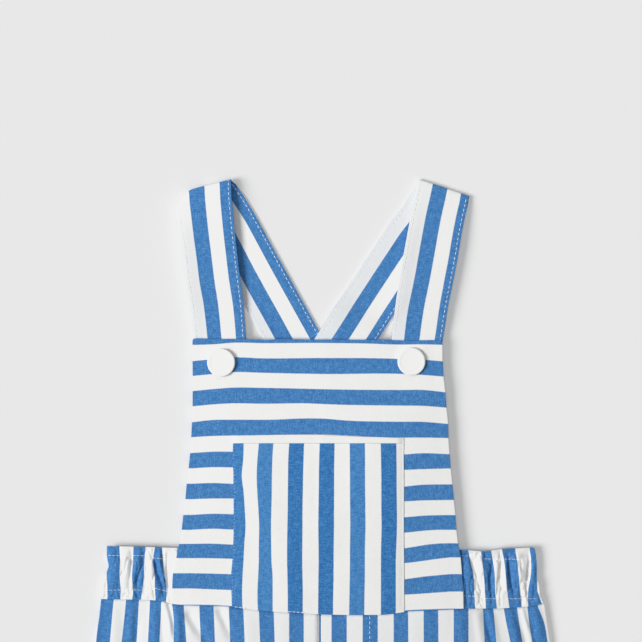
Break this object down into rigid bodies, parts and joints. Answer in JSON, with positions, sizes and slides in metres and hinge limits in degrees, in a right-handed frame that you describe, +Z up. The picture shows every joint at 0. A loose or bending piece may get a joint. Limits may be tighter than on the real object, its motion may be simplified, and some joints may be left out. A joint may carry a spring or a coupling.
{
  "type": "kids bib overalls",
  "caption": "Striped child's bib overalls laid flat, front up, with crossed shoulder straps buttoned to a bib that carries a patch pocket.",
  "frame": {"origin": "on the surface it lies on, under the back of the waistband at the middle of the waist", "axes": "+X towards the picture's right, +Y from the waist towards the shoulder straps, +Z up from the surface, out of the bib's outer face"},
  "size_m": [0.3154, 0.8505, 0.0085],
  "materials": {
    "striped_cotton": "blue and white striped woven cotton, matte",
    "white_cotton": "plain white woven cotton, matte",
    "white_button": "white moulded plastic, satin"
  },
  "bodies": {
    "root": {"bib_front": "striped_cotton", "bib_pocket": "striped_cotton", "pocket_top_band": "white_cotton", "front_left_leg": "striped_cotton", "front_right_leg": "striped_cotton", "back_left_leg": "striped_cotton", "back_right_leg": "striped_cotton", "waistband_back": "striped_cotton", "waistband_front_left": "striped_cotton", "waistband_front_right": "striped_cotton", "strap_left": "striped_cotton", "strap_right": "striped_cotton", "button_left": "white_button", "button_right": "white_button"}
  },
  "joints": []
}
